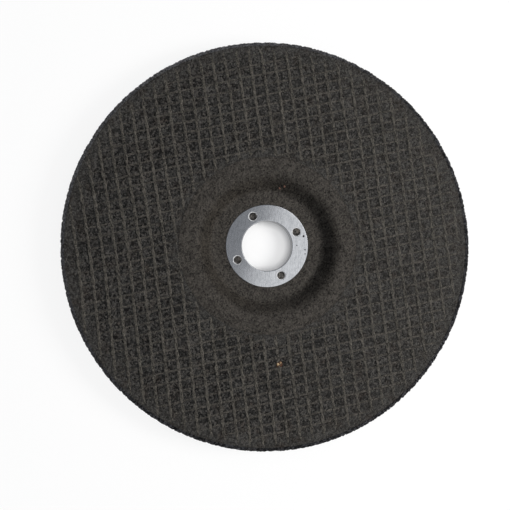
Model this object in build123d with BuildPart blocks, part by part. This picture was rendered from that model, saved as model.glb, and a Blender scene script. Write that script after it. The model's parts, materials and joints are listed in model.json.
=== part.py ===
from build123d import *
from math import cos, floor, radians, sin, tan
import os

# Depressed-centre grinding disc, 180 x 6 mm with a 22.23 mm bore. A moulded body of abrasive
# grain carries a woven glass cloth on its front, a plain patch over its middle and a pressed
# steel bush in its bore. The Z axis is the bore's axis, +Z points to the front, where the
# flange nut sits, and Z = 0 is the back face of the hub.

# Wheel
wheel_diameter = 180.0
wheel_thickness = 6.0
rim_edge_radius = 1.2
rim_lip_drop = 0.1

# Depressed centre: the recess on the front is the boss on the back
recess_depth = 4.6
recess_slope = 38.0
recess_land = 6.2
foot_bend_radius = 4.4
shoulder_bend_radius = 7.4
boss_bend_radius = 5.0
back_bend_radius = 2.0

# Steel bush
bore_diameter = 22.23
bush_wall = 0.9
bush_flange_width = 7.2
bush_edge_radius = 0.3
bush_proud = 0.15
bush_end_gap = 0.3

# Holes in the bush, filled by plugs of the body
hole_count = 4
hole_diameter = 3.4
hole_offset = 3.35
hole_countersink = 0.42
hole_turn = 25.5
plug_drop = 0.3

# Centre patch
patch_thickness = 0.3
patch_land = 8.6

# Glass cloth: a thin wall with warp ridges, and lower weft ridges that cross them
cloth_wall = 0.25
rim_band = 1.8
warp_pitch = 5.4
warp_width = 1.5
warp_height = 0.45
warp_normal = 7.5
warp_phase = 3.38
weft_pitch = 4.56
weft_width = 1.2
weft_drop = 0.1
weft_margin = 3.6
weft_normal = 102.5
weft_phase = 1.32

# Clearances
bush_clearance = 0.05
seam_clearance = 0.05

# Heights
hub_front_z = wheel_thickness
rim_front_z = wheel_thickness + recess_depth
bush_top_z = hub_front_z + bush_proud
bush_seat_z = bush_top_z - bush_wall
cloth_top_z = rim_front_z - warp_height
cloth_seat_z = cloth_top_z - cloth_wall
lip_top_z = rim_front_z - rim_lip_drop

# Radii, outward from the bore
wheel_radius = wheel_diameter / 2
bore_radius = bore_diameter / 2
collar_radius = bore_radius + bush_wall
flange_radius = bore_radius + bush_flange_width
hole_circle_radius = bore_radius + hole_offset
recess_foot_radius = flange_radius + recess_land
recess_top_radius = recess_foot_radius + recess_depth / tan(radians(recess_slope))
patch_radius = recess_top_radius + patch_land
cloth_radius = wheel_radius - rim_band
cloth_inner_radius = patch_radius + seam_clearance
lip_radius = cloth_radius + seam_clearance


def corner_shift(depth):
    """How far a corner of the recess moves outward on a face this deep below the front."""
    return depth * tan(radians(recess_slope) / 2)


def bend_limit(radius):
    """A bend radius, kept small enough for the slope between its two bends."""
    slope_length = recess_depth / sin(radians(recess_slope))
    return min(radius, 0.45 * slope_length / tan(radians(recess_slope) / 2))


def recess_points(depth):
    """The recess's top and foot corners, on a face this deep below the front."""
    return [
        (recess_top_radius + corner_shift(depth), rim_front_z - depth),
        (recess_foot_radius + corner_shift(depth), hub_front_z - depth),
    ]


def ridge_places(pitch, phase, width):
    """Offsets of the ridges from the bore's axis, as many as the cloth has room for."""
    room = cloth_radius - width / 2
    first = -floor((room + phase) / pitch)
    last = floor((room - phase) / pitch)
    return [phase + number * pitch for number in range(first, last + 1)]


foot_bend = bend_limit(foot_bend_radius)
shoulder_bend = bend_limit(shoulder_bend_radius)
rim_edge = min(rim_edge_radius, 0.6 * rim_band)

# Steel bush: a flange and a collar of one wall, drawn round a bend at the bore
with BuildPart() as steel_bush:
    with BuildSketch(Plane.XZ):
        with BuildLine():
            FilletPolyline(
                (bore_radius, bush_end_gap),
                (collar_radius, bush_end_gap),
                (collar_radius, bush_seat_z),
                (flange_radius, bush_seat_z),
                (flange_radius, bush_top_z),
                (bore_radius, bush_top_z),
                radius=[0, 0, 0, 0, min(bush_edge_radius, 0.4 * bush_wall), bush_wall],
                close=True,
            )
        make_face()
    revolve(axis=Axis.Z)
    with Locations(Plane.XY.offset(bush_top_z)):
        with PolarLocations(hole_circle_radius, hole_count, hole_turn):
            CounterSinkHole(hole_diameter / 2, hole_diameter / 2 + hole_countersink, bush_wall)

# Centre patch: a thin skin from the bush over the hub, up the slope and onto the front face
with BuildPart() as centre_patch:
    with BuildSketch(Plane.XZ):
        with BuildLine():
            FilletPolyline(
                (flange_radius + bush_clearance, hub_front_z - patch_thickness),
                (flange_radius + bush_clearance, hub_front_z),
                *reversed(recess_points(0)),
                (patch_radius, rim_front_z),
                (patch_radius, rim_front_z - patch_thickness),
                *recess_points(patch_thickness),
                radius=[
                    0,
                    0,
                    foot_bend,
                    shoulder_bend,
                    0,
                    0,
                    shoulder_bend - patch_thickness,
                    foot_bend + patch_thickness,
                ],
                close=True,
            )
        make_face()
    revolve(axis=Axis.Z)

# Abrasive body: stepped down on its front for the patch, the cloth and the bush's flange
with BuildPart() as abrasive_body:
    with BuildSketch(Plane.XZ):
        with BuildLine():
            FilletPolyline(
                (collar_radius + bush_clearance, 0),
                (recess_foot_radius + corner_shift(wheel_thickness), 0),
                (recess_top_radius + corner_shift(wheel_thickness), recess_depth),
                (wheel_radius, recess_depth),
                (wheel_radius, lip_top_z),
                (lip_radius, lip_top_z),
                (lip_radius, cloth_seat_z),
                (patch_radius, cloth_seat_z),
                (patch_radius, rim_front_z - patch_thickness),
                *recess_points(patch_thickness),
                (flange_radius + bush_clearance, hub_front_z - patch_thickness),
                (flange_radius + bush_clearance, bush_seat_z),
                (collar_radius + bush_clearance, bush_seat_z),
                radius=[
                    0,
                    bend_limit(boss_bend_radius),
                    bend_limit(back_bend_radius),
                    rim_edge,
                    rim_edge,
                    0,
                    0,
                    0,
                    0,
                    shoulder_bend - patch_thickness,
                    foot_bend + patch_thickness,
                    0,
                    0,
                    0,
                ],
                close=True,
            )
        make_face()
    revolve(axis=Axis.Z)
    with BuildSketch(Plane.XY.offset(bush_seat_z)):
        with PolarLocations(hole_circle_radius, hole_count, hole_turn):
            Circle(hole_diameter / 2 - bush_clearance)
    extrude(amount=bush_wall - plug_drop)

# Glass cloth: one wall, with roof-shaped weft ridges that stop short of its edges and flat
# warp ridges that run right across it
weft_angle = radians(weft_normal)
weft_plane = Plane(
    origin=(0, 0, cloth_top_z),
    x_dir=(cos(weft_angle), sin(weft_angle), 0),
    z_dir=(sin(weft_angle), -cos(weft_angle), 0),
)
warp_angle = radians(warp_normal)
warp_plane = Plane(
    origin=(0, 0, cloth_top_z),
    x_dir=(cos(warp_angle), sin(warp_angle), 0),
    z_dir=(0, 0, 1),
)

with BuildPart() as glass_mesh:
    with BuildSketch(weft_plane):
        for place in ridge_places(weft_pitch, weft_phase, weft_width):
            with BuildLine():
                Polyline(
                    (place + weft_width / 2, 0),
                    (place, warp_height - weft_drop),
                    (place - weft_width / 2, 0),
                    close=True,
                )
            make_face()
    extrude(amount=cloth_radius, both=True, clean=False)
    with BuildSketch(Plane.XY.offset(cloth_top_z)):
        Circle(cloth_radius - weft_margin)
        Circle(cloth_inner_radius + weft_margin, mode=Mode.SUBTRACT)
    extrude(amount=warp_height, mode=Mode.INTERSECT, clean=False)
    with BuildSketch(Plane.XY.offset(cloth_seat_z)):
        Circle(cloth_radius)
        Circle(cloth_inner_radius, mode=Mode.SUBTRACT)
    extrude(amount=cloth_wall, clean=False)
    with BuildSketch(warp_plane):
        for place in ridge_places(warp_pitch, warp_phase, warp_width):
            with Locations((place, 0)):
                Rectangle(warp_width, 2 * cloth_radius)
        Circle(cloth_radius, mode=Mode.INTERSECT)
        Circle(cloth_inner_radius, mode=Mode.SUBTRACT)
    extrude(amount=warp_height, clean=False)

os.makedirs("parts", exist_ok=True)

abrasive_body.part.label = "abrasive_body"
export_step(abrasive_body.part, "parts/abrasive_body.step")

glass_mesh.part.label = "glass_mesh"
export_step(glass_mesh.part, "parts/glass_mesh.step")

centre_patch.part.label = "centre_patch"
export_step(centre_patch.part, "parts/centre_patch.step")

steel_bush.part.label = "steel_bush"
export_step(steel_bush.part, "parts/steel_bush.step")
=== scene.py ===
"""Dresses a depressed-centre grinding disc: its grit, glass threads, centre patch and steel bush.

Lengths inside the classes are millimetres. A Surface turns them into metres when it becomes a piece.
"""

import json
import logging
import math
from dataclasses import dataclass
from enum import Enum
from itertools import product

import bpy
import numpy as np
from mathutils import Matrix, Vector


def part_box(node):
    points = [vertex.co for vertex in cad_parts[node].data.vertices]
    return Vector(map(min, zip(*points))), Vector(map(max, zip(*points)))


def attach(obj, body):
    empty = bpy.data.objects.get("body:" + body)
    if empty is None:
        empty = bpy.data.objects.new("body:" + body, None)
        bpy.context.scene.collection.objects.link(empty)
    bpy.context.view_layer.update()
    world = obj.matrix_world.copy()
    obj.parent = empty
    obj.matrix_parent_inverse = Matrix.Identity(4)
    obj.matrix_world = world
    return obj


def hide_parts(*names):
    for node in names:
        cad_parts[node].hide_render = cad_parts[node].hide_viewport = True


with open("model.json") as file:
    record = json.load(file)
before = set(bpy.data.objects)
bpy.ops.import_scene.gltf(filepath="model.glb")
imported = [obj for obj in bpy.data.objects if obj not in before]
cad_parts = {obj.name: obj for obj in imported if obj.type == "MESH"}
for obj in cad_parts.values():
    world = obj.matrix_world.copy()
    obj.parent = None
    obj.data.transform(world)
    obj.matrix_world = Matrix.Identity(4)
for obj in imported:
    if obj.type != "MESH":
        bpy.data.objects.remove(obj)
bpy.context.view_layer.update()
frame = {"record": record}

Colour = tuple[float, float, float, float]
Four = tuple[float, float, float, float]
Pair = tuple[float, float]
Triple = tuple[float, float, float]
Socket = bpy.types.NodeSocket
Piece = bpy.types.Object

MM = 0.001
SHARP_DEGREES = 62.0
TINY = 1e-12
FEWEST_ON_RING = 24
BLACK = (0.0, 0.0, 0.0, 1.0)
WHITE = (1.0, 1.0, 1.0, 1.0)
WANDER_SIZE = 4.0

# Hashing of cells: multipliers for the three axes and the seed, then a shift and a multiplier for
# each mixing step, of which the last only shifts
WORD = 0xFFFFFFFF
AXIS_STEPS = (0x8DA6B343, 0xD8163841, 0xCB1AB31F)
SEED_STEP = 0x9E3779B1
MIXING_STEPS = ((16, 0x7FEB352D), (15, 0x846CA68B), (16, 1))

# The side of the disc toward which the grain bed is paler, higher and flatter and the warp is duller:
# its angle from +X, and the distances along it between which the change grows
OVERLAY_SIDE = (5.0, -25.0, 85.0)

log = logging.getLogger("grinding_disc")


class Slot(Enum):
    """The record's material slots."""

    ABRASIVE = "abrasive"
    GLASS_CLOTH = "glass_cloth"
    PATCH = "patch"
    STEEL = "steel"


class Maths(Enum):
    """Blender's names for the steps of arithmetic that the finishes use."""

    ADD = "ADD"
    SUBTRACT = "SUBTRACT"
    MULTIPLY = "MULTIPLY"
    LARGER = "MAXIMUM"
    ANGLE = "ARCTAN2"


class Mixing(Enum):
    """Blender's names for the ways in which two colours mix."""

    PLAIN = "MIX"
    SOFT_LIGHT = "SOFT_LIGHT"


def srgb(red: float, green: float, blue: float) -> Colour:
    """A colour as a shader takes it.

    Args:
        red: screen value from 0 to 255.
        green: screen value from 0 to 255.
        blue: screen value from 0 to 255.

    Returns:
        Linear red, green and blue, and an alpha of 1.
    """
    values = []
    for channel in (red, green, blue):
        part = channel / 255
        values.append(part / 12.92 if part <= 0.04045 else ((part + 0.055) / 1.055) ** 2.4)
    return (*values, 1.0)


def smooth_step(values: np.ndarray, start: float, end: float) -> np.ndarray:
    """Goes smoothly from 0 to 1 as the values pass from start to end.

    Args:
        values: numbers to compare with start and end.
        start: where the result leaves 0.
        end: where the result reaches 1.

    Returns:
        A number from 0 to 1 for each value.
    """
    part = np.clip((values - start) / (end - start), 0.0, 1.0)
    return part * part * (3.0 - 2.0 * part)


def scatter(cells: np.ndarray, seed: int) -> np.ndarray:
    """Repeatable random numbers for whole-numbered cells of space.

    Args:
        cells: whole numbers, one row of three for each cell.
        seed: picks one of many sets of numbers.

    Returns:
        A number from 0 to 1 for each row.
    """
    mask = np.uint64(WORD)
    parts = cells.astype(np.int64).astype(np.uint64)
    mixed = np.full(len(cells), np.uint64(seed * SEED_STEP))
    for axis, step in enumerate(AXIS_STEPS):
        mixed = mixed + parts[:, axis] * np.uint64(step)
    mixed = mixed & mask
    for shift, multiplier in MIXING_STEPS:
        mixed = mixed ^ (mixed >> np.uint64(shift))
        mixed = (mixed * np.uint64(multiplier)) & mask
    return mixed.astype(float) / (WORD + 1)


def soft_noise(points: np.ndarray, size: float, seed: int) -> np.ndarray:
    """Smooth noise through space.

    Args:
        points: one row of three coordinates for each point.
        size: distance over which the noise changes.
        seed: picks one of many noises.

    Returns:
        A number from -1 to 1 for each point.
    """
    scaled = points / size
    cells = np.floor(scaled).astype(np.int64)
    part = scaled - cells
    part = part * part * (3.0 - 2.0 * part)
    total = np.zeros(len(points))
    for corner in product((0, 1), repeat=3):
        weight = np.ones(len(points))
        for axis in range(3):
            weight *= part[:, axis] if corner[axis] else 1.0 - part[:, axis]
        total += weight * scatter(cells + np.array(corner), seed)
    return 2.0 * total - 1.0


@dataclass(frozen=True)
class GrainField:
    """Crushed grains packed at random through space, each with its own height and facet."""

    size: float
    seed: int
    facet: float = 0.9
    valley: float = 0.35
    lowest: float = 0.15
    spread: float = 0.7
    valley_level: float = 0.35

    def heights(self, points: np.ndarray) -> np.ndarray:
        """How far the nearest grain stands out at each point.

        Args:
            points: one row of three coordinates for each point.

        Returns:
            A number from 0 to 1 for each point, lowest in the valleys between grains.
        """
        cells = np.floor(points / self.size).astype(np.int64)
        nearest = np.full(len(points), np.inf)
        second = np.full(len(points), np.inf)
        owner = cells.copy()
        offset = np.zeros_like(points)
        for step in product((-1, 0, 1), repeat=3):
            cell = cells + np.array(step)
            jitter = np.stack([scatter(cell, self.seed + axis) for axis in range(3)], axis=1)
            away = points - (cell + jitter) * self.size
            distance = np.sqrt((away * away).sum(axis=1))
            closer = distance < nearest
            second = np.where(closer, nearest, np.minimum(second, distance))
            nearest = np.where(closer, distance, nearest)
            owner[closer] = cell[closer]
            offset[closer] = away[closer]
        level = scatter(owner, self.seed + 3)
        lean = np.stack([scatter(owner, self.seed + 4 + axis) - 0.5 for axis in range(3)], axis=1)
        slant = self.facet * (lean * offset).sum(axis=1) / self.size
        gap = smooth_step(second - nearest, 0.0, self.valley * self.size)
        height = self.lowest + self.spread * level + slant
        return np.clip(height * (self.valley_level + (1.0 - self.valley_level) * gap), 0.0, 1.0)


@dataclass
class Surface:
    """A closed triangle mesh in millimetres."""

    points: np.ndarray
    faces: np.ndarray

    def normals(self) -> np.ndarray:
        """The outward direction at each point.

        Returns:
            One row of three numbers for each point.
        """
        corners = self.points[self.faces]
        across = np.cross(corners[:, 1] - corners[:, 0], corners[:, 2] - corners[:, 0])
        total = np.zeros_like(self.points)
        for corner, axis in product(range(3), repeat=2):
            weights = across[:, axis]
            total[:, axis] += np.bincount(self.faces[:, corner], weights, len(self.points))
        return total / np.maximum(np.linalg.norm(total, axis=1, keepdims=True), TINY)

    def distances(self) -> np.ndarray:
        """The distance of each point from the bore's axis."""
        return np.hypot(self.points[:, 0], self.points[:, 1])

    def pushed(self, amounts: np.ndarray) -> "Surface":
        """The surface with its points moved along their normals.

        Args:
            amounts: distance for each point, outward where it is above zero.

        Returns:
            A new surface with the same faces.
        """
        return Surface(self.points + self.normals() * amounts[:, None], self.faces)

    def moved(self, shift: Triple) -> "Surface":
        """The surface moved by the three distances of shift."""
        return Surface(self.points + np.array(shift), self.faces)

    @staticmethod
    def joined(parts: list["Surface"]) -> "Surface":
        """Several surfaces as one.

        Args:
            parts: the surfaces, in order.

        Returns:
            One surface with all their points and faces.
        """
        first = np.cumsum([0] + [len(part.points) for part in parts[:-1]])
        faces = [part.faces + start for part, start in zip(parts, first)]
        return Surface(np.vstack([part.points for part in parts]), np.vstack(faces))

    def piece(self, name: str, material: bpy.types.Material) -> Piece:
        """The surface as a smooth-shaded object in metres, in the shared frame.

        Args:
            name: the piece's name.
            material: its finish.

        Returns:
            The new object, linked to the scene.
        """
        mesh = bpy.data.meshes.new(name)
        mesh.from_pydata((self.points * MM).tolist(), [], self.faces.tolist())
        mesh.validate()
        mesh.shade_smooth()
        mesh.set_sharp_from_angle(angle=math.radians(SHARP_DEGREES))
        mesh.materials.append(material)
        made = bpy.data.objects.new(name, mesh)
        bpy.context.scene.collection.objects.link(made)
        return made


@dataclass(frozen=True)
class Corner:
    """A corner of a turned profile, with its bend and the spacing of the run that follows it."""

    radius: float
    height: float
    bend: float = 0.0
    step: float = 1.0

    def place(self) -> np.ndarray:
        """The corner as radius and height."""
        return np.array([self.radius, self.height])


def turn_between(first: np.ndarray, second: np.ndarray) -> float:
    """The angle in radians from one direction to another, above zero where it is counter-clockwise."""
    return math.atan2(first[0] * second[1] - first[1] * second[0], float(first @ second))


def bend_points(start: np.ndarray, middle: np.ndarray, turn: float, count: int) -> list[np.ndarray]:
    """Points along an arc, without its end.

    Args:
        start: the arc's first point.
        middle: the arc's centre.
        turn: the angle in radians that it turns through.
        count: number of points.

    Returns:
        The points in order.
    """
    spoke = start - middle
    found = []
    for number in range(count):
        cosine = math.cos(turn * number / count)
        sine = math.sin(turn * number / count)
        turned = [spoke[0] * cosine - spoke[1] * sine, spoke[0] * sine + spoke[1] * cosine]
        found.append(middle + np.array(turned))
    return found


def rounded_profile(corners: list[Corner]) -> np.ndarray:
    """Points round a closed profile of straight runs and tangent arcs.

    Args:
        corners: the profile's corners in order, each with its bend's radius.

    Returns:
        One row for each point: its radius, its height and the spacing there.
    """
    rows = []
    for index, corner in enumerate(corners):
        before = corners[index - 1]
        after = corners[(index + 1) % len(corners)]
        beyond = corners[(index + 2) % len(corners)]
        inward = corner.place() - before.place()
        outward = after.place() - corner.place()
        inward /= np.linalg.norm(inward)
        run = np.linalg.norm(outward)
        outward /= run
        turn = turn_between(inward, outward)
        setback = corner.bend * math.tan(abs(turn) / 2)
        if corner.bend:
            start = corner.place() - inward * setback
            side = math.copysign(1.0, turn) * np.array([-inward[1], inward[0]])
            step = min(before.step, corner.step)
            count = max(2, math.ceil(corner.bend * abs(turn) / step))
            for point in bend_points(start, start + corner.bend * side, turn, count):
                rows.append((*point, step))
        next_turn = turn_between(outward, beyond.place() - after.place())
        length = run - setback - after.bend * math.tan(abs(next_turn) / 2)
        leave = corner.place() + outward * setback
        count = max(1, math.ceil(length / corner.step))
        for number in range(count):
            rows.append((*(leave + outward * length * number / count), corner.step))
    return np.array(rows)


def ring(radius: float, height: float, count: int) -> np.ndarray:
    """Evenly spaced points on a level circle round the bore's axis, one row for each."""
    angles = 2 * math.pi * np.arange(count) / count
    return np.stack([radius * np.cos(angles), radius * np.sin(angles), np.full(count, height)], axis=1)


def turned_surface(profile: np.ndarray) -> Surface:
    """A closed profile turned round the bore's axis, with evenly spaced points on every ring.

    Args:
        profile: one row for each ring: its radius, its height and the spacing of its points. The
            profile runs counter-clockwise, with the radius to the right and the height upward.

    Returns:
        The turned surface.
    """
    counts = np.round(2 * math.pi * profile[:, 0] / profile[:, 2])
    counts = np.maximum(FEWEST_ON_RING, counts).astype(int)
    firsts = np.concatenate([[0], np.cumsum(counts)[:-1]])
    points = [ring(radius, height, count) for (radius, height, _), count in zip(profile, counts)]
    faces = []
    for index in range(len(profile)):
        other = (index + 1) % len(profile)
        near, far = int(counts[index]), int(counts[other])
        steps = np.arange(near)
        facing = ((2 * steps + 1) * far + near) // (2 * near)
        faces.append(np.stack([
            firsts[index] + steps,
            firsts[index] + (steps + 1) % near,
            firsts[other] + facing % far,
        ], axis=1))
        steps = np.arange(far)
        facing = -((far - (2 * steps + 1) * near) // (2 * far))
        faces.append(np.stack([
            firsts[other] + (steps + 1) % far,
            firsts[other] + steps,
            firsts[index] + facing % near,
        ], axis=1))
    return Surface(np.vstack(points), np.vstack(faces))


def spindle(rings: list[Pair], count: int) -> Surface:
    """A small solid turned about its own axis, closed by a point at each end.

    Args:
        rings: radius and height of each ring, from the lowest end to the highest. The ends have
            radius 0.
        count: points on each ring.

    Returns:
        The solid, with its axis on the bore's axis.
    """
    points = [np.array([[0.0, 0.0, rings[0][1]]])]
    points += [ring(radius, height, count) for radius, height in rings[1:-1]]
    points.append(np.array([[0.0, 0.0, rings[-1][1]]]))
    around = np.arange(count)
    beside = (around + 1) % count
    last = 1 + count * (len(rings) - 2)
    faces = [np.stack([np.zeros(count, int), 1 + beside, 1 + around], axis=1)]
    for level in range(len(rings) - 3):
        low = 1 + level * count
        high = low + count
        faces.append(np.stack([low + around, low + beside, high + beside], axis=1))
        faces.append(np.stack([low + around, high + beside, high + around], axis=1))
    top = last - count
    faces.append(np.stack([top + around, top + beside, np.full(count, last)], axis=1))
    return Surface(np.vstack(points), np.vstack(faces))


@dataclass(frozen=True)
class DiscSizes:
    """The disc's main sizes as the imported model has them, and the few that only its profile shows."""

    bore: float
    flange: float
    patch: float
    cloth: float
    wheel: float
    bush_top: float
    hub_front: float
    rim_front: float
    lip_top: float
    seat: float
    rim_back: float = 4.6
    collar: float = 12.015
    clearance: float = 0.05
    bush_end: float = 0.3
    bush_wall: float = 0.9
    patch_wall: float = 0.3
    foot: float = 24.515
    slope_degrees: float = 38.0
    foot_bend: float = 4.4
    shoulder_bend: float = 7.4
    boss_bend: float = 5.0
    back_bend: float = 2.0
    rim_edge: float = 1.2
    hole_count: int = 4
    hole_turn: float = 25.5
    hole_offset: float = 3.35
    hole_radius: float = 1.7

    @classmethod
    def from_frame(cls, record: dict) -> "DiscSizes":
        """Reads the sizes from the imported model.

        Args:
            record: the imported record, which holds the bore's radius.

        Returns:
            The disc's sizes in millimetres.
        """
        bore = next(mount for mount in record["mounts"] if mount["name"] == "bore")
        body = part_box("abrasive_body")[1] / MM
        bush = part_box("steel_bush")[1] / MM
        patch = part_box("centre_patch")
        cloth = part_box("glass_mesh")
        return cls(
            bore=bore["dims"]["r_mm"],
            flange=bush.x,
            patch=patch[1].x / MM,
            cloth=cloth[1].x / MM,
            wheel=min(body.x, body.y),
            bush_top=bush.z,
            hub_front=patch[0].z / MM + cls.patch_wall,
            rim_front=patch[1].z / MM,
            lip_top=body.z,
            seat=cloth[0].z / MM,
        )

    def bush_seat(self) -> float:
        """The height of the face that the bush's flange lies on."""
        return self.bush_top - self.bush_wall

    def recess_corner(self, depth: float, upper: bool) -> Pair:
        """A corner of the recess.

        Args:
            depth: how far the face lies below the disc's front.
            upper: true for the corner at the top of the slope.

        Returns:
            The corner's radius and height.
        """
        angle = math.radians(self.slope_degrees)
        shift = depth * math.tan(angle / 2)
        if upper:
            rise = self.rim_front - self.hub_front
            return self.foot + rise / math.tan(angle) + shift, self.rim_front - depth
        return self.foot + shift, self.hub_front - depth

    def holes(self) -> list[Triple]:
        """The middles of the bush's holes.

        Returns:
            The level shift from the bore's axis to each hole.
        """
        radius = self.bore + self.hole_offset
        found = []
        for number in range(self.hole_count):
            angle = math.radians(self.hole_turn + 360 / self.hole_count * number)
            found.append((radius * math.cos(angle), radius * math.sin(angle), 0.0))
        return found


class NodeSheet:
    """A material's nodes, with short calls for those that the finishes share."""

    def __init__(self, name: str) -> None:
        """Starts a material that holds one Principled shader.

        Args:
            name: the material's name.
        """
        self.material = bpy.data.materials.new(name)
        self.material.use_nodes = True
        self.tree = self.material.node_tree
        self.tree.nodes.clear()
        self.output = self.add("OutputMaterial")
        self.shader = self.add("BsdfPrincipled")
        self.link(self.shader.outputs["BSDF"], self.output.inputs["Surface"])
        self.coordinates = self.add("TexCoord").outputs["Object"]

    def add(self, kind: str) -> bpy.types.Node:
        """Adds a node, named as Blender names it after the word ShaderNode."""
        return self.tree.nodes.new("ShaderNode" + kind)

    def link(self, source: Socket, target: Socket) -> None:
        """Joins an output to an input."""
        self.tree.links.new(source, target)

    def feed(self, target: Socket, value: object) -> None:
        """Fills an input.

        Args:
            target: the input.
            value: a number, a colour or another node's output.
        """
        if isinstance(value, Socket):
            self.link(value, target)
        else:
            target.default_value = value

    def place(self, size: Triple, turn: float = 0.0) -> Socket:
        """Coordinates on the piece, measured in a feature's own size.

        Args:
            size: length of one feature along each direction, in millimetres.
            turn: angle in degrees of the first direction from +X.

        Returns:
            The scaled coordinates.
        """
        node = self.add("Mapping")
        node.vector_type = "TEXTURE"
        node.inputs["Rotation"].default_value = (0.0, 0.0, math.radians(turn))
        node.inputs["Scale"].default_value = tuple(length * MM for length in size)
        self.link(self.coordinates, node.inputs["Vector"])
        return node.outputs["Vector"]

    def reach(self, start: float, end: float, wobble: float = 0.0) -> Socket:
        """A number that goes from 0 to 1 with the distance from the bore's axis.

        Args:
            start: distance in millimetres where it leaves 0.
            end: distance in millimetres where it reaches 1.
            wobble: how far, in millimetres, cloudy noise moves both distances.

        Returns:
            The number.
        """
        flat = self.add("VectorMath")
        flat.operation = "MULTIPLY"
        flat.inputs[1].default_value = (1.0, 1.0, 0.0)
        self.link(self.coordinates, flat.inputs[0])
        length = self.add("VectorMath")
        length.operation = "LENGTH"
        self.link(flat.outputs[0], length.inputs[0])
        distance = length.outputs["Value"]
        if wobble:
            cloud = self.clouds(WANDER_SIZE)
            distance = self.blend((distance, cloud), (1.0, 2 * wobble * MM))
            distance = self.maths(Maths.SUBTRACT, distance, wobble * MM)
        return self.span(distance, 0.0, 1.0, start * MM, end * MM)

    def toward(self, degrees: float, start: float, end: float) -> Socket:
        """A number that goes from 0 to 1 along one level direction from the bore's axis.

        Args:
            degrees: the direction's angle from +X.
            start: distance in millimetres where it leaves 0.
            end: distance in millimetres where it reaches 1.

        Returns:
            The number.
        """
        along = self.add("VectorMath")
        along.operation = "DOT_PRODUCT"
        angle = math.radians(degrees)
        along.inputs[1].default_value = (math.cos(angle), math.sin(angle), 0.0)
        self.link(self.coordinates, along.inputs[0])
        return self.span(along.outputs["Value"], 0.0, 1.0, start * MM, end * MM)

    def rays(self, width_degrees: float, length: float) -> Socket:
        """Noise in streaks that point away from the bore's axis.

        Args:
            width_degrees: width of a streak, as an angle at the axis.
            length: length of a streak in millimetres.

        Returns:
            A number of about 0.5 on average. It has a seam along -X.
        """
        split = self.add("SeparateXYZ")
        self.link(self.coordinates, split.inputs[0])
        turn = self.maths(Maths.ANGLE, split.outputs["Y"], split.outputs["X"])
        across = self.maths(Maths.MULTIPLY, turn, 1.0 / math.radians(width_degrees))
        joined = self.add("CombineXYZ")
        self.link(across, joined.inputs["X"])
        self.link(self.reach(0.0, length), joined.inputs["Y"])
        return self.noise(joined.outputs["Vector"], rough=0.6)

    def noise(self, where: Socket, detail: float = 3.0, rough: float = 0.55) -> Socket:
        """Cloudy noise.

        Args:
            where: coordinates in features.
            detail: octaves of the noise.
            rough: strength of the finer octaves.

        Returns:
            A number of about 0.5 on average.
        """
        node = self.add("TexNoise")
        node.inputs["Scale"].default_value = 1.0
        node.inputs["Detail"].default_value = detail
        node.inputs["Roughness"].default_value = rough
        self.link(where, node.inputs["Vector"])
        return node.outputs["Fac"]

    def clouds(self, size: float, detail: float = 3.0, rough: float = 0.55) -> Socket:
        """Cloudy noise with features of one size in millimetres, whichever way they lie."""
        return self.noise(self.place((size,) * 3), detail, rough)

    def grains(self, size: float) -> tuple[Socket, Socket]:
        """Packed grains.

        Args:
            size: width of a grain in millimetres.

        Returns:
            The distance to the nearest grain's middle, and a random colour for each grain.
        """
        node = self.add("TexVoronoi")
        node.inputs["Scale"].default_value = 1.0
        self.link(self.place((size,) * 3), node.inputs["Vector"])
        return node.outputs["Distance"], node.outputs["Color"]

    def maths(self, step: Maths, first: object, second: object) -> Socket:
        """One step of arithmetic.

        Args:
            step: what is done.
            first: a number or another node's output.
            second: a number or another node's output.

        Returns:
            The result.
        """
        node = self.add("Math")
        node.operation = step.value
        self.feed(node.inputs[0], first)
        self.feed(node.inputs[1], second)
        return node.outputs[0]

    def blend(self, sources: tuple[Socket, ...], shares: tuple[float, ...]) -> Socket:
        """Adds outputs together, each multiplied by its own share.

        Args:
            sources: the outputs.
            shares: the share of each.

        Returns:
            The sum.
        """
        total = None
        for source, share in zip(sources, shares):
            part = self.maths(Maths.MULTIPLY, source, share)
            total = part if total is None else self.maths(Maths.ADD, total, part)
        return total

    def ramp(self, factor: Socket, places: tuple[float, ...], colours: tuple[Colour, ...]) -> Socket:
        """A colour that changes with a number.

        Args:
            factor: the number.
            places: the numbers, from 0 to 1, where it reaches each colour.
            colours: the colours.

        Returns:
            The colour.
        """
        node = self.add("ValToRGB")
        elements = node.color_ramp.elements
        while len(elements) < len(places):
            elements.new(0.5)
        for element, place, colour in zip(elements, places, colours):
            element.position = place
            element.color = colour
        self.link(factor, node.inputs["Fac"])
        return node.outputs["Color"]

    def span(
        self, factor: Socket, low: float, high: float, start: float = 0.0, end: float = 1.0
    ) -> Socket:
        """Stretches a number that goes from start to end onto the range from low to high.

        Args:
            factor: the number.
            low: the result at start and before it.
            high: the result at end and beyond it.
            start: where the result leaves low.
            end: where the result reaches high.

        Returns:
            The stretched number.
        """
        node = self.add("MapRange")
        node.inputs["From Min"].default_value = start
        node.inputs["From Max"].default_value = end
        node.inputs["To Min"].default_value = low
        node.inputs["To Max"].default_value = high
        self.link(factor, node.inputs["Value"])
        return node.outputs["Result"]

    def mix(self, factor: object, first: object, second: object, way: Mixing = Mixing.PLAIN) -> Socket:
        """A mixture of two colours.

        Args:
            factor: share of the second colour.
            first: the first colour.
            second: the second colour.
            way: how they mix.

        Returns:
            The mixed colour.
        """
        node = self.add("Mix")
        node.data_type = "RGBA"
        node.blend_type = way.value
        colours = [socket for socket in node.inputs if socket.type == "RGBA"]
        self.feed(node.inputs["Factor"], factor)
        self.feed(colours[0], first)
        self.feed(colours[1], second)
        return next(socket for socket in node.outputs if socket.type == "RGBA")

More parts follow.
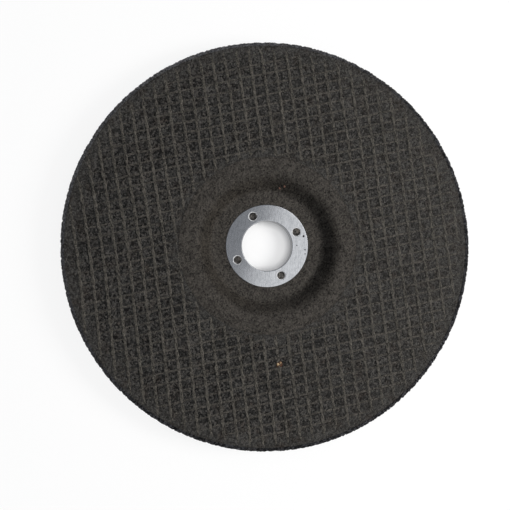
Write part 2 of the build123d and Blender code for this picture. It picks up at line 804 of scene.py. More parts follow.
    def bump(self, height: Socket, depth: float, strength: float = 1.0) -> None:
        """Roughens the shader's normal.

        Args:
            height: the relief, from 0 to 1.
            depth: height of the relief in millimetres.
            strength: share of the relief that is used.
        """
        node = self.add("Bump")
        node.inputs["Distance"].default_value = depth * MM
        node.inputs["Strength"].default_value = strength
        self.link(height, node.inputs["Height"])
        self.link(node.outputs["Normal"], self.shader.inputs["Normal"])

    def set(self, **values: object) -> bpy.types.Material:
        """Sets the shader's sockets.

        Args:
            values: a number, a colour or an output for each socket, whose name has underscores for
                its spaces.

        Returns:
            The material.
        """
        for name, value in values.items():
            self.feed(self.shader.inputs[name.replace("_", " ")], value)
        return self.material


@dataclass(frozen=True)
class GritFinish:
    """Dark abrasive grain in resin, with bright facets, brownish patches and films of pale resin.

    The tone goes from 0 to 1, and the places are where it reaches each colour or end of a range. A
    band of films is the pair of distances from the axis between which resin films grow in the overlay
    colour. The overlay also grows toward one side, and on the rim's grit it is a painted highlight there.
    """

    name: str
    dark: Colour
    middle: Colour
    light: Colour
    warm: Colour = srgb(150, 128, 108)
    grain: float = 0.72
    fine_grain: float = 0.504
    cloud_sizes: Pair = (7.0, 4.0)
    tone_shares: Triple = (0.42, 0.48, 0.1)
    tone_places: Triple = (0.32, 0.5, 0.69)
    patch_places: Pair = (0.5, 0.72)
    patch_grey: Colour = (0.65, 0.65, 0.65, 1.0)
    roughness: Pair = (0.4, 0.7)
    gloss: Pair = (0.12, 0.62)
    gloss_places: Pair = (0.36, 0.66)
    relief: float = 0.26
    relief_shares: Pair = (-0.5, 0.8)
    film: Colour = BLACK
    overlay_places: Pair = (0.36, 0.62)
    film_bands: tuple[Pair, ...] = ()
    film_wobble: float = 1.6
    film_share: float = 0.6
    overlay_side: Triple = OVERLAY_SIDE
    side_share: float = 0.0

    def material(self) -> bpy.types.Material:
        """Builds the material.

        Returns:
            The material.
        """
        sheet = NodeSheet(self.name)
        distance, shade = sheet.grains(self.grain)
        fine = sheet.clouds(self.fine_grain, rough=0.7)
        broad = sheet.clouds(self.cloud_sizes[0], detail=2.0)
        tone = sheet.blend((shade, fine, broad), self.tone_shares)
        colour = sheet.ramp(tone, self.tone_places, (self.dark, self.middle, self.light))
        covers = [(sheet.reach(*band, self.film_wobble), self.film_share) for band in self.film_bands]
        # Toward one side the grain is mixed with the overlay colour; on the rim's grit this is a painted
        # highlight
        if self.side_share:
            covers.append((sheet.toward(*self.overlay_side), self.side_share))
        for cover, share in covers:
            film = sheet.ramp(fine, self.overlay_places, (self.middle, self.film))
            colour = sheet.mix(sheet.maths(Maths.MULTIPLY, cover, share), colour, film)
        patches = sheet.ramp(sheet.clouds(self.cloud_sizes[1]), self.patch_places, (BLACK, self.patch_grey))
        colour = sheet.mix(patches, colour, self.warm, Mixing.SOFT_LIGHT)
        sheet.bump(sheet.blend((distance, fine), self.relief_shares), self.relief)
        return sheet.set(
            Base_Color=colour,
            Roughness=sheet.span(shade, *self.roughness),
            Specular_IOR_Level=sheet.span(tone, *self.gloss, *self.gloss_places),
        )


@dataclass(frozen=True)
class YarnFinish:
    """Glass thread soaked in resin: fine filaments along it, grit that clings to it, and an overlay colour
    toward one side.
    """

    name: str
    along_degrees: float
    dark: Colour
    light: Colour
    filament: Triple = (5.0, 0.16, 0.4)
    grit_sizes: Pair = (0.62, 0.55)
    cloud_size: float = 7.0
    tone_shares: Four = (0.2, 0.26, 0.42, 0.12)
    tone_places: Pair = (0.34, 0.65)
    roughness: Pair = (0.42, 0.75)
    gloss: Pair = (0.15, 0.5)
    gloss_places: Pair = (0.38, 0.63)
    relief: float = 0.26
    relief_shares: Pair = (0.4, 0.9)
    film: Colour = srgb(48, 46, 43)
    side_share: float = 0.0

    def material(self) -> bpy.types.Material:
        """Builds the material.

        Returns:
            The material.
        """
        sheet = NodeSheet(self.name)
        filaments = sheet.noise(sheet.place(self.filament, self.along_degrees), detail=2.0, rough=0.5)
        _, shade = sheet.grains(self.grit_sizes[0])
        grit = sheet.clouds(self.grit_sizes[1], rough=0.7)
        broad = sheet.clouds(self.cloud_size)
        tone = sheet.blend((filaments, shade, grit, broad), self.tone_shares)
        colour = sheet.ramp(tone, self.tone_places, (self.dark, self.light))
        share = sheet.maths(Maths.MULTIPLY, sheet.toward(*OVERLAY_SIDE), self.side_share)
        colour = sheet.mix(share, colour, self.film)
        sheet.bump(sheet.blend((filaments, grit), self.relief_shares), self.relief)
        return sheet.set(
            Base_Color=colour,
            Roughness=sheet.span(grit, *self.roughness),
            Specular_IOR_Level=sheet.span(tone, *self.gloss, *self.gloss_places),
        )


@dataclass(frozen=True)
class PatchFinish:
    """Fine-textured dark felt soaked in resin, with painted shade on the recess's slope and more on
    one side.

    The slope's painted shade and the side's have four distances from the axis each: where it starts,
    is full, starts to end and has ended.
    """

    name: str
    dark: Colour
    light: Colour
    texture: float = 0.6
    fibre: Triple = (2.4, 0.6, 1.0)
    fibre_degrees: float = 62.0
    cloud_size: float = 5.0
    tone_shares: Four = (0.3, 0.36, 0.16, 0.18)
    tone_places: Pair = (0.33, 0.67)
    roughness: Pair = (0.34, 0.62)
    gloss: Pair = (0.25, 0.85)
    gloss_places: Pair = (0.37, 0.63)
    relief: float = 0.26
    relief_shares: Triple = (0.8, 0.3, 0.2)
    # Painted shade: a ring on the recess's slope where the felt is darkened toward black and loses gloss
    slope: Four = (23.6, 26.2, 28.6, 32.0)
    slope_wobble: Pair = (0.8, 1.2)
    slope_shade_share: float = 0.25
    # Painted shade: a further, streaky darkening round the slope on the side that faces away from the key
    # lamp
    darkening: Four = (21.8, 26.0, 29.0, 35.0)
    side_shade_wobble: Pair = (1.0, 2.0)
    side_shade_direction: Triple = (12.0, 2.0, 24.0)
    side_shade_share: float = 0.24
    ray_size: Pair = (2.6, 60.0)
    ray_range: Pair = (0.0, 2.0)
    ray_places: Pair = (0.3, 0.7)

    def band(self, sheet: NodeSheet, edges: Four, wobble: Pair) -> Socket:
        """A number that is 1 within a ring round the axis and 0 outside it.

        Args:
            sheet: the material's nodes.
            edges: the ring's four distances from the axis.
            wobble: how far noise moves the inner and the outer edge.

        Returns:
            The number.
        """
        inner = sheet.reach(edges[0], edges[1], wobble[0])
        return sheet.maths(Maths.SUBTRACT, inner, sheet.reach(edges[2], edges[3], wobble[1]))

    def material(self) -> bpy.types.Material:
        """Builds the material.

        Returns:
            The material.
        """
        sheet = NodeSheet(self.name)
        _, shade = sheet.grains(self.texture)
        fine = sheet.clouds(self.texture, detail=4.0, rough=0.75)
        fibres = sheet.noise(sheet.place(self.fibre, self.fibre_degrees), detail=2.0)
        broad = sheet.clouds(self.cloud_size)
        tone = sheet.blend((shade, fine, fibres, broad), self.tone_shares)
        colour = sheet.ramp(tone, self.tone_places, (self.dark, self.light))
        # Painted shade on the slope's side that faces away from the key lamp, broken into streaks that point
        # away from the axis
        painted_side_shade = sheet.maths(
            Maths.MULTIPLY, self.band(sheet, self.darkening, self.side_shade_wobble), sheet.toward(*self.side_shade_direction)
        )
        rays = sheet.span(sheet.rays(*self.ray_size), *self.ray_range, *self.ray_places)
        painted_side_shade = sheet.maths(Maths.MULTIPLY, painted_side_shade, rays)
        # Painted shade: the slope's ring and the side's streaks darken the felt toward black and dull its
        # gloss
        slope = self.band(sheet, self.slope, self.slope_wobble)
        shaded = sheet.blend((slope, painted_side_shade), (self.slope_shade_share, self.side_shade_share))
        colour = sheet.mix(shaded, colour, BLACK)
        gloss = sheet.span(tone, *self.gloss, *self.gloss_places)
        gloss = sheet.maths(Maths.MULTIPLY, gloss, sheet.maths(Maths.SUBTRACT, 1.0, shaded))
        sheet.bump(sheet.blend((fine, shade, fibres), self.relief_shares), self.relief)
        return sheet.set(
            Base_Color=colour,
            Roughness=sheet.span(shade, *self.roughness),
            Specular_IOR_Level=gloss,
        )


@dataclass(frozen=True)
class SteelFinish:
    """Satin zinc-plated steel with upright rolling streaks, and painted shade on the wall of its bore."""

    name: str
    colour: Colour
    dull: Colour
    roughness: Pair = (0.12, 0.19)
    metal: float = 1.0
    streak: Triple = (0.24, 5.0, 1.0)
    streak_degrees: float = -9.0
    cloud_size: float = 1.1
    tone_shares: Pair = (0.7, 0.3)
    tone_places: Pair = (0.32, 0.6)
    relief: float = 0.003
    relief_share: float = 0.5
    # Painted shade: the bore's wall gets this darker colour for the shade it stands in
    wall: Colour = (0.3, 0.305, 0.315, 1.0)
    wall_shade_band: Pair = (11.13, 11.28)

    def material(self) -> bpy.types.Material:
        """Builds the material.

        Returns:
            The material.
        """
        sheet = NodeSheet(self.name)
        streaks = sheet.noise(sheet.place(self.streak, self.streak_degrees), rough=0.65)
        tone = sheet.blend((streaks, sheet.clouds(self.cloud_size)), self.tone_shares)
        colour = sheet.ramp(tone, self.tone_places, (self.dull, self.colour))
        # Painted shade: inside the bore the colour turns to the darker wall colour
        colour = sheet.mix(sheet.reach(*self.wall_shade_band), self.wall, colour)
        sheet.bump(streaks, self.relief, self.relief_share)
        return sheet.set(
            Base_Color=colour,
            Roughness=sheet.span(tone, self.roughness[1], self.roughness[0]),
            Metallic=self.metal,
        )


@dataclass(frozen=True)
class SpeckFinish:
    """One stray grain, with darker facets."""

    name: str
    dark: Colour
    light: Colour
    facet: float = 0.35
    places: Pair = (0.35, 0.65)
    roughness: Pair = (0.4, 0.7)
    relief: float = 0.08
    relief_share: float = 0.7

    def material(self) -> bpy.types.Material:
        """Builds the material.

        Returns:
            The material.
        """
        sheet = NodeSheet(self.name)
        mottle = sheet.clouds(self.facet, detail=2.0)
        sheet.bump(mottle, self.relief, self.relief_share)
        return sheet.set(
            Base_Color=sheet.ramp(mottle, self.places, (self.dark, self.light)),
            Roughness=sheet.span(mottle, *self.roughness),
        )


@dataclass(frozen=True)
class FloorFinish:
    """A matt white floor. Part of what the camera sees of it is plain white, and the rest is lit.

    The plain part is smaller under and beside the disc, where the floor shows more of its shade.
    """

    name: str = "white_floor"
    colour: Triple = (0.96, 0.96, 0.965)
    darker: float = 0.98
    cloud_size: float = 3.0
    tone_places: Pair = (0.3, 0.7)
    roughness: Pair = (0.8, 0.95)
    gloss: float = 0.1
    plain_in_bore: float = 0.6
    plain_at_wall: float = 0.24
    plain_far: float = 0.88
    bore_band: Pair = (8.2, 10.8)
    far_band: Pair = (12.0, 60.0)

    def material(self) -> bpy.types.Material:
        """Builds the material.

        Returns:
            The material.
        """
        sheet = NodeSheet(self.name)
        cloud = sheet.clouds(self.cloud_size)
        shades = ((*(part * self.darker for part in self.colour), 1.0), (*self.colour, 1.0))
        sheet.set(
            Base_Color=sheet.ramp(cloud, self.tone_places, shades),
            Roughness=sheet.span(cloud, *self.roughness),
            Specular_IOR_Level=self.gloss,
        )
        ray = sheet.add("LightPath").outputs
        seen = sheet.maths(Maths.LARGER, ray["Is Camera Ray"], ray["Is Glossy Ray"])
        seen = sheet.maths(Maths.LARGER, seen, ray["Is Transmission Ray"])
        near = sheet.span(sheet.reach(*self.bore_band), self.plain_in_bore, self.plain_at_wall)
        far = sheet.span(sheet.reach(*self.far_band), 0.0, self.plain_far - self.plain_at_wall)
        share = sheet.maths(Maths.ADD, near, far)
        glow = sheet.add("Emission")
        glow.inputs["Color"].default_value = WHITE
        glow.inputs["Strength"].default_value = 1.0
        choose = sheet.add("MixShader")
        sheet.link(sheet.maths(Maths.MULTIPLY, seen, share), choose.inputs["Fac"])
        sheet.link(sheet.shader.outputs["BSDF"], choose.inputs[1])
        sheet.link(glow.outputs["Emission"], choose.inputs[2])
        sheet.link(choose.outputs["Shader"], sheet.output.inputs["Surface"])
        return sheet.material


def hang_lamp(name: str, width: float, depth: float, energy: float) -> Piece:
    """Adds a rectangular soft lamp that the camera doesn't see.

    Args:
        name: the lamp's name.
        width: its first side in millimetres.
        depth: its other side in millimetres.
        energy: its power in watts.

    Returns:
        The lamp, still at the origin and facing down.
    """
    data = bpy.data.lights.new(name, "AREA")
    data.shape = "RECTANGLE"
    data.size = width * MM
    data.size_y = depth * MM
    data.energy = energy
    lamp = bpy.data.objects.new(name, data)
    lamp.visible_camera = False
    bpy.context.scene.collection.objects.link(lamp)
    return lamp


@dataclass(frozen=True)
class AreaLamp:
    """A rectangular soft lamp that hangs above the disc and faces its middle."""

    name: str
    off_vertical: float
    azimuth: float
    distance: float
    width: float
    depth: float
    energy: float
    colour: Triple = (1.0, 1.0, 1.0)
    mirrored: bool = True

    def hang(self) -> None:
        """Adds the lamp to the scene."""
        lean = math.radians(self.off_vertical)
        turn = math.radians(self.azimuth)
        level = math.sin(lean)
        toward = Vector((level * math.cos(turn), level * math.sin(turn), math.cos(lean)))
        lamp = hang_lamp(self.name, self.width, self.depth, self.energy)
        lamp.data.color = self.colour
        lamp.location = toward * self.distance * MM
        lamp.rotation_mode = "QUATERNION"
        lamp.rotation_quaternion = toward.to_track_quat("Z", "Y")
        lamp.visible_glossy = self.mirrored


@dataclass(frozen=True)
class Card:
    """A level bright panel above the disc, which the steel mirrors.

    Its sides are angles from the vertical, and it is turned about the middle of its left side.
    """

    name: str = "overhead_card"
    height: float = 900.0
    left_degrees: float = 3.1
    right_degrees: float = 46.0
    back_degrees: float = 20.0
    front_degrees: float = -42.0
    energy: float = 2.1
    lean_degrees: float = 20.0

    def hang(self) -> None:
        """Adds the panel to the scene."""
        sides = [self.left_degrees, self.right_degrees, self.front_degrees, self.back_degrees]
        left, right, front, back = (self.height * math.tan(math.radians(side)) for side in sides)
        lamp = hang_lamp(self.name, right - left, back - front, self.energy)
        hinge = Vector((left, 0.0, self.height))
        turn = Matrix.Rotation(math.radians(-self.lean_degrees), 3, "Z")
        lamp.location = (hinge + turn @ Vector(((right - left) / 2, (front + back) / 2, 0.0))) * MM
        lamp.rotation_euler.z = math.radians(-self.lean_degrees)


@dataclass(frozen=True)
class Studio:
    """The floor, the light and the camera."""

    camera_place: Triple = (-33.63, -15.9, 398.8)
    camera_aim: Triple = (-4.93, -3.86, 0.0)
    focal_pixels: float = 890.6
    image_pixels: float = 510.0
    sensor: float = 36.0
    nearest_seen: float = 10.0
    floor_side: float = 12000.0
    room: Colour = (0.225, 0.235, 0.255, 1.0)
    horizon: Colour = (0.6, 0.6, 0.61, 1.0)
    horizon_places: Pair = (0.1, 0.3)

    def build(self) -> None:
        """Sets the view transform and builds the camera, the floor, the room's light and the lamps."""
        bpy.context.scene.view_settings.view_transform = "Standard"
        self.add_camera()
        self.add_floor()
        self.add_room()
        Card().hang()
        AreaLamp(
            "key_lamp", off_vertical=55.0, azimuth=-4.0, distance=800.0, width=310.0, depth=310.0,
            energy=7.0, colour=(1.0, 0.985, 0.96), mirrored=False,
        ).hang()
        AreaLamp(
            "glint_lamp", off_vertical=38.0, azimuth=40.0, distance=620.0, width=400.0, depth=130.0,
            energy=0.5,
        ).hang()

    def add_camera(self) -> None:
        """Stands the camera above the disc, with +Y upward in its picture."""
        place = Vector(self.camera_place)
        ahead = (Vector(self.camera_aim) - place).normalized()
        right = ahead.cross(Vector((0.0, 1.0, 0.0))).normalized()
        upward = right.cross(ahead)
        data = bpy.data.cameras.new("camera")
        data.sensor_width = self.sensor
        data.lens = self.focal_pixels * self.sensor / self.image_pixels
        data.clip_start = self.nearest_seen * MM
        data.clip_end = self.floor_side * MM
        camera = bpy.data.objects.new("camera", data)
        turn = Matrix((right, upward, -ahead)).transposed().to_4x4()
        camera.matrix_world = Matrix.Translation(place * MM) @ turn
        bpy.context.scene.collection.objects.link(camera)
        bpy.context.scene.camera = camera

    def add_floor(self) -> None:
        """Lays the floor at the height of the hub's back."""
        half = self.floor_side / 2
        points = [[-half, -half, 0.0], [half, -half, 0.0], [half, half, 0.0], [-half, half, 0.0]]
        faces = np.array([[0, 1, 2], [0, 2, 3]])
        Surface(np.array(points), faces).piece("floor", FloorFinish().material())

    def add_room(self) -> None:
        """Lights the disc from all round: grey overhead and pale near the horizon."""
        world = bpy.data.worlds.new("room")
        world.use_nodes = True
        nodes = world.node_tree.nodes
        links = world.node_tree.links
        place = nodes.new("ShaderNodeTexCoord")
        split = nodes.new("ShaderNodeSeparateXYZ")
        ramp = nodes.new("ShaderNodeValToRGB")
        stops = zip(ramp.color_ramp.elements, self.horizon_places, (self.horizon, self.room))
        for element, position, colour in stops:
            element.position = position
            element.color = colour
        links.new(place.outputs["Generated"], split.inputs["Vector"])
        links.new(split.outputs["Z"], ramp.inputs["Fac"])
        links.new(ramp.outputs["Color"], nodes["Background"].inputs["Color"])
        bpy.context.scene.world = world


PLUG_GRIT = GritFinish(
    "grit_in_holes", dark=srgb(26, 25, 24), middle=srgb(52, 50, 48), light=srgb(98, 94, 89),
)
# Painted highlight: toward the upper left, at 138 degrees from +X, the rim's grit is mixed with pale grey for
# the light that falls on that side
GRIT = GritFinish(
    "abrasive_grit", dark=srgb(5, 5, 6), middle=srgb(18, 18, 20), light=srgb(60, 60, 64),
    film=srgb(128, 128, 131), overlay_side=(138.0, -5.0, 85.0), side_share=0.52,
)
BED_GRIT = GritFinish(
    "grain_between_threads", dark=srgb(16, 15, 15), middle=srgb(30, 29, 27), light=srgb(72, 69, 65),
    film=srgb(65, 63, 60), film_bands=((44.0, 39.5), (79.0, 88.0)), side_share=0.38,
)
FELT = PatchFinish("patch_felt", dark=srgb(12, 11, 9), light=srgb(64, 58, 50))
ZINC = SteelFinish("zinc_steel", colour=(0.69, 0.7, 0.715, 1.0), dull=(0.46, 0.47, 0.485, 1.0))
PRESSED_EDGE = SteelFinish(
    "pressed_edge", colour=(0.62, 0.62, 0.63, 1.0), dull=(0.5, 0.5, 0.51, 1.0),
    roughness=(0.3, 0.45), metal=0.25,
)


@dataclass(frozen=True)
class AbrasiveBody:
    """The moulded body: raw grit at its rim, duller grit on its back, and a plug in each bush hole."""

    sizes: DiscSizes
    rim_spacing: float = 0.44
    back_spacing: float = 1.05
    hub_spacing: float = 0.735
    step_spacing: float = 2.0
    hidden_spacing: float = 4.0
    coarse: GrainField = GrainField(size=1.25, seed=11)
    fine: GrainField = GrainField(size=0.7, seed=23)
    coarse_share: float = 0.7
    pit_level: float = 0.45
    rim_relief: float = 0.7
    rim_margins: Pair = (-0.2, 0.9)
    back_relief: float = 0.28
    back_height: float = 0.4
    collar_margin: float = 1.0
    hub_height: float = 0.3
    hub_share: float = 0.35
    plug_gap: float = 0.05
    plug_top: float = 5.85
    plug_relief: float = 0.14
    plug_grain: GrainField = GrainField(size=0.55, seed=71)
    plug_rings: tuple[float, ...] = (1.0, 0.8, 0.6, 0.4, 0.2)
    plug_corners: int = 32

    def profile(self) -> list[Corner]:
        """The body's profile, counter-clockwise from the foot of the bore.

        Returns:
            Its corners.
        """
        sizes = self.sizes
        bore = sizes.collar + sizes.clearance
        pocket = sizes.flange + sizes.clearance
        lip = sizes.cloth + sizes.clearance
        wall = sizes.patch_wall
        boss = sizes.recess_corner(sizes.hub_front, False)
        back = sizes.recess_corner(sizes.hub_front, True)
        return [
            Corner(bore, 0.0, 0.0, self.hub_spacing),
            Corner(boss[0], 0.0, sizes.boss_bend, self.hub_spacing),
            Corner(back[0], sizes.rim_back, sizes.back_bend, self.back_spacing),
            Corner(sizes.wheel, sizes.rim_back, sizes.rim_edge, self.rim_spacing),
            Corner(sizes.wheel, sizes.lip_top, sizes.rim_edge, self.rim_spacing),
            Corner(lip, sizes.lip_top, 0.0, self.rim_spacing),
            Corner(lip, sizes.seat, 0.0, self.hidden_spacing),
            Corner(sizes.patch, sizes.seat, 0.0, self.hidden_spacing),
            Corner(sizes.patch, sizes.rim_front - wall, 0.0, self.hidden_spacing),
            Corner(*sizes.recess_corner(wall, True), sizes.shoulder_bend - wall, self.step_spacing),
            Corner(*sizes.recess_corner(wall, False), sizes.foot_bend + wall, self.step_spacing),
            Corner(pocket, sizes.hub_front - wall, 0.0, self.step_spacing),
            Corner(pocket, sizes.bush_seat(), 0.0, self.step_spacing),
            Corner(bore, sizes.bush_seat(), 0.0, self.step_spacing),
        ]

    def plugs(self) -> list[Surface]:
        """The grit that fills the bush's holes.

        Returns:
            One plug for each hole.
        """
        seat = self.sizes.bush_seat()
        radius = self.sizes.hole_radius - self.plug_gap
        rings = [(0.0, seat), (radius, seat)]
        rings += [(radius * share, self.plug_top) for share in self.plug_rings]
        rings.append((0.0, self.plug_top))
        made = []
        for shift in self.sizes.holes():
            plug = spindle(rings, self.plug_corners).moved(shift)
            on_top = plug.points[:, 2] > (seat + self.plug_top) / 2
            pits = self.plug_relief * self.plug_grain.heights(plug.points)
            made.append(plug.pushed(np.where(on_top, -pits, 0.0)))
        return made

    def depths(self, body: Surface) -> np.ndarray:
        """How deep the grit is cut at each point of the body.

        Args:
            body: the smooth body.

        Returns:
            The depth for each point, which is 0 on the faces that other pieces cover.
        """
        sizes = self.sizes
        radius = body.distances()
        height = body.points[:, 2]
        grain = self.coarse_share * self.coarse.heights(body.points)
        grain = grain + (1.0 - self.coarse_share) * self.fine.heights(body.points)
        pits = np.clip(1.0 - grain / self.pit_level, 0.0, 1.0)
        inner, outer = (sizes.cloth + margin for margin in self.rim_margins)
        rim = smooth_step(radius, inner, outer)
        inner = sizes.collar + self.collar_margin
        behind = (height < sizes.rim_back + self.back_height) & (radius > inner)
        depth = np.where(behind, self.back_relief, 0.0)
        share = self.hub_share + (1.0 - self.hub_share) * smooth_step(radius, inner, sizes.foot)
        depth = np.where(height < self.hub_height, depth * share, depth)
        return np.where(rim > 0.0, rim * self.rim_relief * pits, depth * (1.0 - grain))

    def build(self) -> Piece:
        """Builds the piece.

        Returns:
            The new piece.
        """
        body = turned_surface(rounded_profile(self.profile()))
        body = body.pushed(-self.depths(body))
        piece = Surface.joined([body, *self.plugs()]).piece("gritty_body", GRIT.material())
        piece.data.materials.append(PLUG_GRIT.material())
        in_plugs = np.arange(len(piece.data.polygons)) >= len(body.faces)
        piece.data.polygons.foreach_set("material_index", in_plugs.astype(np.int32))
        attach(piece, "root")
        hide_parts("abrasive_body")
        return piece


@dataclass(frozen=True)
class GrainBed:
    """The grain that fills the windows of the glass cloth.

    It rises near the rim and the patch, where it covers the threads, and a little toward one side.
    There its relief is flatter.
    """

    sizes: DiscSizes
    spacing: float = 0.475
    hidden_spacing: float = 4.0
    level: float = 9.98
    coarse: GrainField = GrainField(size=1.15, seed=37)
    fine: GrainField = GrainField(size=0.62, seed=41)
    coarse_share: float = 0.6
    relief: float = 0.38
    rim_band: Pair = (82.0, 87.5)
    rim_rise: float = 0.26
    rim_flattening: float = 0.45
    patch_reach: float = 3.5
    patch_drift: float = 1.5
    drift_size: float = 5.0
    drift_seed: int = 43
    patch_rise: float = 0.3
    patch_flattening: float = 0.4
    side_rise: float = 0.08
    side_flattening: float = 0.4

    def rises(self, points: np.ndarray) -> np.ndarray:
        """How far the grain stands above its level.

        Args:
            points: one row of three coordinates for each point.

        Returns:
            The height for each point.
        """
        radius = np.hypot(points[:, 0], points[:, 1])
        grit = self.coarse_share * self.coarse.heights(points)
        grit = grit + (1.0 - self.coarse_share) * self.fine.heights(points)
        rim = smooth_step(radius, *self.rim_band)
        drift = radius + self.patch_drift * soft_noise(points, self.drift_size, self.drift_seed)
        patch = 1.0 - smooth_step(drift, self.sizes.patch, self.sizes.patch + self.patch_reach)
        film = smooth_step(points[:, 0], *OVERLAY_SIDE[1:])
        rise = self.rim_rise * rim + self.patch_rise * patch + self.side_rise * film
        flat = 1.0 - self.rim_flattening * rim - self.patch_flattening * patch
        return rise + self.relief * grit * flat * (1.0 - self.side_flattening * film)

    def build(self) -> Piece:
        """Builds the piece.

        Returns:
            The new piece.
        """
        sizes = self.sizes
        inner = sizes.patch + sizes.clearance
        corners = [
            Corner(inner, sizes.seat, 0.0, self.hidden_spacing),
            Corner(sizes.cloth, sizes.seat, 0.0, self.spacing),
            Corner(sizes.cloth, self.level, 0.0, self.spacing),
            Corner(inner, self.level, 0.0, self.spacing),
        ]
        bed = turned_surface(rounded_profile(corners))
        on_top = bed.points[:, 2] > (sizes.seat + self.level) / 2
        points = bed.points.copy()
        points[:, 2] += np.where(on_top, self.rises(bed.points), 0.0)
        piece = Surface(points, bed.faces).piece("grain_bed", BED_GRIT.material())
        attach(piece, "root")
        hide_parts("glass_mesh")
        return piece


@dataclass(frozen=True)
class ClothBow:
    """How pressing has bowed the cloth's threads, in shares of its reach from the bore's axis."""

    reach: float = 70.0
    bulge_place: Pair = (-0.93, -0.11)
    bulge_size: Pair = (0.6, 0.45)
    spread: float = 0.24
    curl: float = 0.36
    curl_fade: float = 0.9

    def shifts(self, points: np.ndarray) -> np.ndarray:
        """How far each point of a thread lies from where a straight one would.

        Args:
            points: one row of three coordinates for each point.

        Returns:
            The distance for each point.
        """
        across, upward = points[:, 0] / self.reach, points[:, 1] / self.reach
        aside = (across - self.bulge_place[0]) / self.bulge_size[0]
        above = (upward - self.bulge_place[1]) / self.bulge_size[1]
        edges = self.spread * across - self.curl * upward ** 2 * (1.0 - self.curl_fade * across)
        return np.exp(-aside ** 2 - above ** 2) + edges


